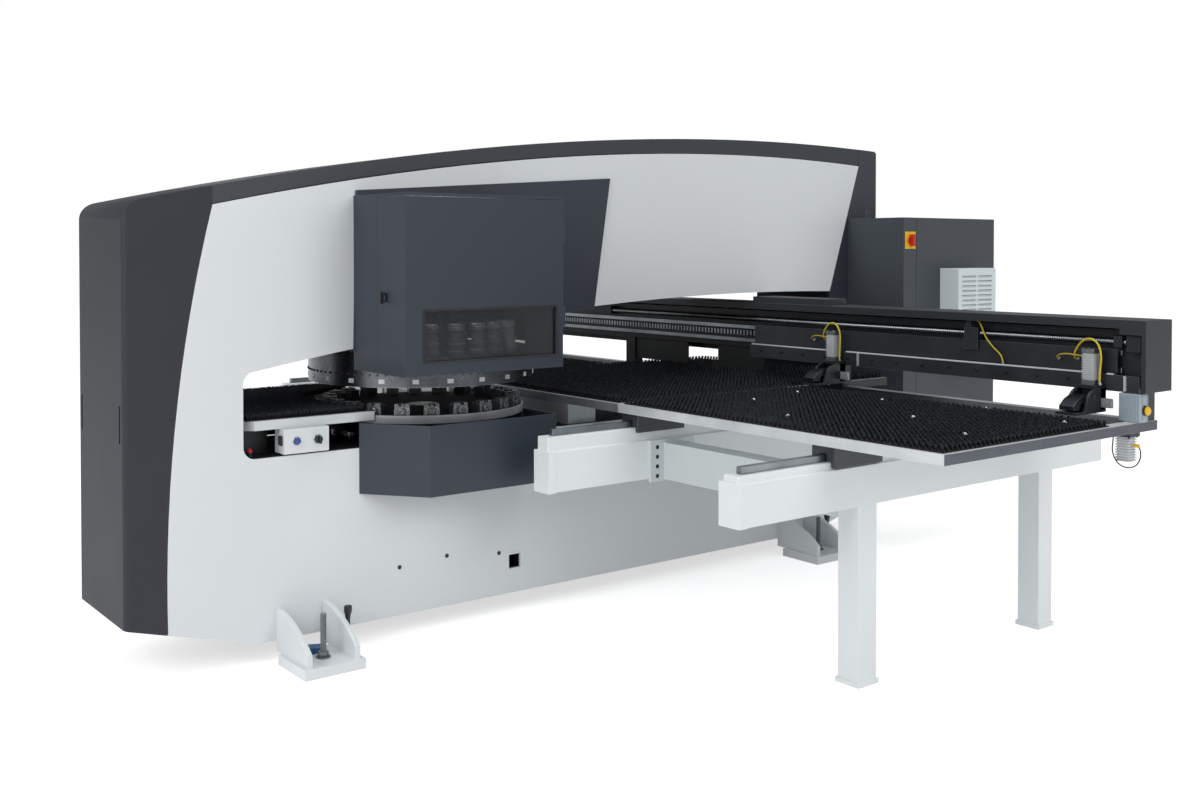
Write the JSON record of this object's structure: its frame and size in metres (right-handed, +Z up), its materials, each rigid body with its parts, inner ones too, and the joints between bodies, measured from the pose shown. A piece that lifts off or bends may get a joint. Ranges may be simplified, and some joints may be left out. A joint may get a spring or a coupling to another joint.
{
  "type": "cnc turret punch press",
  "caption": "CNC turret punch press: an O-frame with a guarded tool turret, brush tables and a carriage beam with workholders.",
  "frame": {"origin": "middle of the footprint at floor level, with X = 0 on the middle plane of the O-frame", "axes": "+X along the carriage beam towards the cabinet side, +Y along the frame from its near end to its far end, +Z up"},
  "size_m": [4.88, 4.76, 2.1873],
  "materials": {
    "white_paint": "semi_gloss",
    "charcoal_paint": "satin",
    "steel": "brushed",
    "dark_steel": "matte",
    "aluminium": "satin",
    "bristle": "matte",
    "black_plastic": "matte",
    "pale_plastic": "matte",
    "yellow_rubber": "matte",
    "yellow_plastic": "gloss",
    "red_plastic": "gloss",
    "blue_plastic": "gloss",
    "blue_paint": "satin",
    "tinted_window": "clear"
  },
  "bodies": {
    "machine": {"main_frame": "dark_steel", "near_end_cover": "charcoal_paint", "top_cover": "charcoal_paint", "far_end_cover": "charcoal_paint", "front_side_panel": "white_paint", "rear_side_panel": "white_paint", "foot_brackets": "white_paint", "anchor_studs": "steel", "foot_wedges": "blue_paint", "jack_bolts": "black_plastic", "turret_bearings": "dark_steel", "turret_motor": "charcoal_paint", "ram_cylinder": "dark_steel", "turret_guard_boxes": "charcoal_paint", "lower_turret_guards": "charcoal_paint", "fixed_tables": "aluminium", "fixed_brushes": "bristle", "inner_arms": "white_paint", "right_outer_arm": "white_paint", "left_outer_arm": "white_paint", "crossbeams": "white_paint", "arm_end_covers": "white_paint", "table_rails": "steel", "control_box": "white_paint", "cabinet_body": "charcoal_paint"},
    "y_carriage": {"beam_girder": "dark_steel", "beam_hood": "charcoal_paint", "beam_end_caps": "charcoal_paint", "x_guides": "steel", "x_motor": "black_plastic", "right_table": "aluminium", "left_table": "aluminium", "table_brushes": "bristle", "table_runners": "black_plastic", "beam_cables": "yellow_rubber", "end_box": "pale_plastic", "locator_cylinder": "aluminium"},
    "x_carriage": {"carriage_bar": "dark_steel", "workholder_bodies": "black_plastic", "clamp_cylinders": "aluminium", "clamp_hoses": "yellow_rubber"},
    "clamp_jaws": {"workholder_jaws": "steel"},
    "x_feed_screw": {"x_screw": "steel"},
    "y_feed_screw": {"y_screw": "steel"},
    "upper_tool_turret": {"upper_turret": "steel", "punch_holders": "steel"},
    "lower_tool_turret": {"lower_turret": "steel", "die_holders": "steel"},
    "turret_pinion": {"motor_pinion": "steel"},
    "punch_ram": {"ram": "steel"},
    "turret_guard_door": {"guard_door": "charcoal_paint", "guard_window": "tinted_window"},
    "guard_latch": {"door_latch": "black_plastic"},
    "electrical_door": {"cabinet_door": "charcoal_paint", "cooling_unit": "pale_plastic"},
    "mains_switch": {"main_switch": "red_plastic"},
    "start_button": {"push_button": "blue_plastic"},
    "mode_selector": {"selector_knob": "black_plastic"},
    "emergency_button": {"stop_button": "yellow_plastic"},
    "sheet_locator": {"locator_pin": "steel"}
  },
  "joints": [
    {"name": "y_travel", "type": "slide", "parent": "machine", "child": "y_carriage", "axis": [0, 1, 0], "range_m": [-0.42, 0.4]},
    {"name": "x_travel", "type": "slide", "parent": "y_carriage", "child": "x_carriage", "axis": [1, 0, 0], "range_m": [-2.5, 0]},
    {"name": "jaw_clamp", "type": "hinge", "parent": "x_carriage", "child": "clamp_jaws", "pos_m": [0.882, 0.73, 1.035], "axis": [1, 0, 0], "range_deg": [-10, 2.4]},
    {"name": "x_screw_turn", "type": "hinge", "parent": "y_carriage", "child": "x_feed_screw", "pos_m": [0, 0.855, 1.255], "axis": [1, 0, 0], "continuous": true},
    {"name": "y_screw_turn", "type": "hinge", "parent": "machine", "child": "y_feed_screw", "pos_m": [0.64, 0.38, 0.838], "axis": [0, 1, 0], "continuous": true},
    {"name": "upper_turret_turn", "type": "hinge", "parent": "machine", "child": "upper_tool_turret", "pos_m": [0, -0.978, 1.05], "axis": [0, 0, 1], "continuous": true},
    {"name": "lower_turret_turn", "type": "hinge", "parent": "machine", "child": "lower_tool_turret", "pos_m": [0, -0.978, 0.85], "axis": [0, 0, 1], "continuous": true},
    {"name": "pinion_turn", "type": "hinge", "parent": "machine", "child": "turret_pinion", "pos_m": [0, -1.338, 0.822], "axis": [0, 0, 1], "continuous": true},
    {"name": "ram_stroke", "type": "slide", "parent": "machine", "child": "punch_ram", "axis": [0, 0, -1], "range_m": [0, 0.037]},
    {"name": "guard_door_hinge", "type": "hinge", "parent": "machine", "child": "turret_guard_door", "pos_m": [0.697, -0.699, 1.48], "axis": [0, 0, 1], "range_deg": [0, 100]},
    {"name": "latch_turn", "type": "hinge", "parent": "turret_guard_door", "child": "guard_latch", "pos_m": [0.549, -1.457, 1.43], "axis": [0, 1, 0], "range_deg": [0, 90]},
    {"name": "cabinet_door_hinge", "type": "hinge", "parent": "machine", "child": "electrical_door", "pos_m": [0.668, 2.38, 1.12], "axis": [0, 0, 1], "range_deg": [0, 110]},
    {"name": "main_switch_turn", "type": "hinge", "parent": "machine", "child": "mains_switch", "pos_m": [0.668, 1.625, 1.668], "axis": [1, 0, 0], "range_deg": [0, 90]},
    {"name": "push_button_press", "type": "slide", "parent": "machine", "child": "start_button", "axis": [-1, 0, 0], "range_m": [0, 0.004], "stiffness_N_per_m": 400},
    {"name": "selector_turn", "type": "hinge", "parent": "machine", "child": "mode_selector", "pos_m": [0.3, -1.626, 0.861], "axis": [1, 0, 0], "range_deg": [-45, 45]},
    {"name": "stop_button_press", "type": "slide", "parent": "y_carriage", "child": "emergency_button", "axis": [-1, 0, 0], "range_m": [0, 0.005], "stiffness_N_per_m": 500},
    {"name": "locator_lift", "type": "slide", "parent": "y_carriage", "child": "sheet_locator", "axis": [0, 0, 1], "range_m": [0, 0.04]}
  ],
  "couplings": [
    {"joint": "x_screw_turn", "follows": "x_travel", "rad_per_m": 157.08},
    {"joint": "y_screw_turn", "follows": "y_travel", "rad_per_m": 157.08},
    {"joint": "upper_turret_turn", "follows": "lower_turret_turn", "ratio": 1},
    {"joint": "pinion_turn", "follows": "lower_turret_turn", "ratio": -4}
  ]
}
